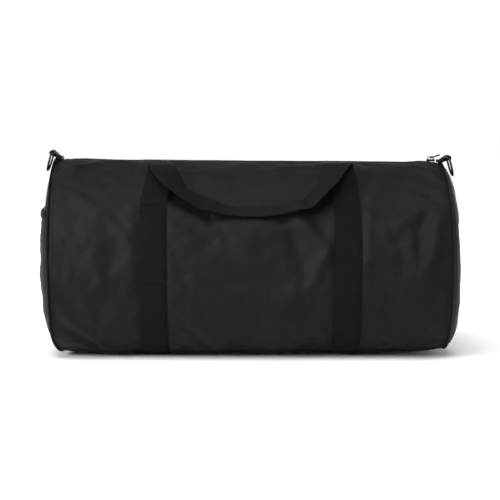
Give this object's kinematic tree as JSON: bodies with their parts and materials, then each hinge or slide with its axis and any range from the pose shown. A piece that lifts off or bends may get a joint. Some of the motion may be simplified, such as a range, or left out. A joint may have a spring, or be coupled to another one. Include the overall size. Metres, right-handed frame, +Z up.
{
  "type": "duffel bag",
  "caption": "Soft barrel duffel bag with a zipped top, two carrying handles that hang down its sides, a slip pocket on one end and a ring at the top of each end.",
  "frame": {"origin": "middle of the bag's footprint, on the surface it stands on", "axes": "+X along the barrel to the end where the closed zip's slider is, +Z up, front towards -Y"},
  "size_m": [0.5997, 0.2948, 0.2957],
  "materials": {
    "shell": "matt black woven synthetic, lightly coated",
    "webbing": "black ribbed webbing",
    "trim": "black woven tape and cord",
    "zip_teeth": "black coil",
    "hardware": "black painted metal, semi-gloss"
  },
  "bodies": {
    "bag": {"front_panel": "shell", "base_panel": "shell", "back_panel": "shell", "zip_end_cover_left": "shell", "zip_end_cover_right": "shell", "end_panel_left": "shell", "end_panel_right": "shell", "end_pocket": "shell", "piping_left": "trim", "piping_right": "trim", "seam_binding_left": "trim", "seam_binding_right": "trim", "pocket_hem": "trim", "web_band_left": "webbing", "web_band_right": "webbing", "ring_tab_left": "webbing", "ring_tab_right": "webbing"},
    "mouth_front": {"mouth_panel_front": "shell", "zip_tape_front": "trim", "zip_coil_front": "zip_teeth"},
    "mouth_back": {"mouth_panel_back": "shell", "zip_tape_back": "trim", "zip_coil_back": "zip_teeth"},
    "slider": {"zip_slider": "hardware"},
    "pull": {"zip_pull": "hardware"},
    "front_handle": {"front_handle": "webbing"},
    "back_handle": {"back_handle": "webbing"},
    "ring_left": {"d_ring_left": "hardware"},
    "ring_right": {"d_ring_right": "hardware"}
  },
  "joints": [
    {"name": "zip_slide", "type": "slide", "parent": "bag", "child": "slider", "axis": [-1, 0, 0.004], "range_m": [0, 0.524]},
    {"name": "mouth_front_open", "type": "hinge", "parent": "bag", "child": "mouth_front", "pos_m": [0, 0, 0.138], "axis": [1, 0, 0], "range_deg": [0, 25]},
    {"name": "mouth_back_open", "type": "hinge", "parent": "bag", "child": "mouth_back", "pos_m": [0, 0, 0.138], "axis": [-1, 0, 0], "range_deg": [0, 25]},
    {"name": "zip_pull_hinge", "type": "hinge", "parent": "slider", "child": "pull", "pos_m": [0.266, 0, 0.2838], "axis": [0, -1, 0], "range_deg": [0, 140]},
    {"name": "front_handle_lift", "type": "hinge", "parent": "bag", "child": "front_handle", "pos_m": [0, -0.0795, 0.2757], "axis": [-1, 0, 0], "range_deg": [0, 150]},
    {"name": "back_handle_lift", "type": "hinge", "parent": "bag", "child": "back_handle", "pos_m": [0, 0.0795, 0.2757], "axis": [1, 0, 0], "range_deg": [0, 150]},
    {"name": "left_ring_swing", "type": "hinge", "parent": "bag", "child": "ring_left", "pos_m": [-0.2905, 0, 0.292], "axis": [0, 1, 0], "range_deg": [0, 140]},
    {"name": "right_ring_swing", "type": "hinge", "parent": "bag", "child": "ring_right", "pos_m": [0.2915, 0, 0.2845], "axis": [0, -1, 0], "range_deg": [0, 140]}
  ],
  "couplings": [
    {"joint": "mouth_front_open", "follows": "zip_slide", "rad_per_m": 0.83},
    {"joint": "mouth_back_open", "follows": "zip_slide", "rad_per_m": 0.83}
  ]
}
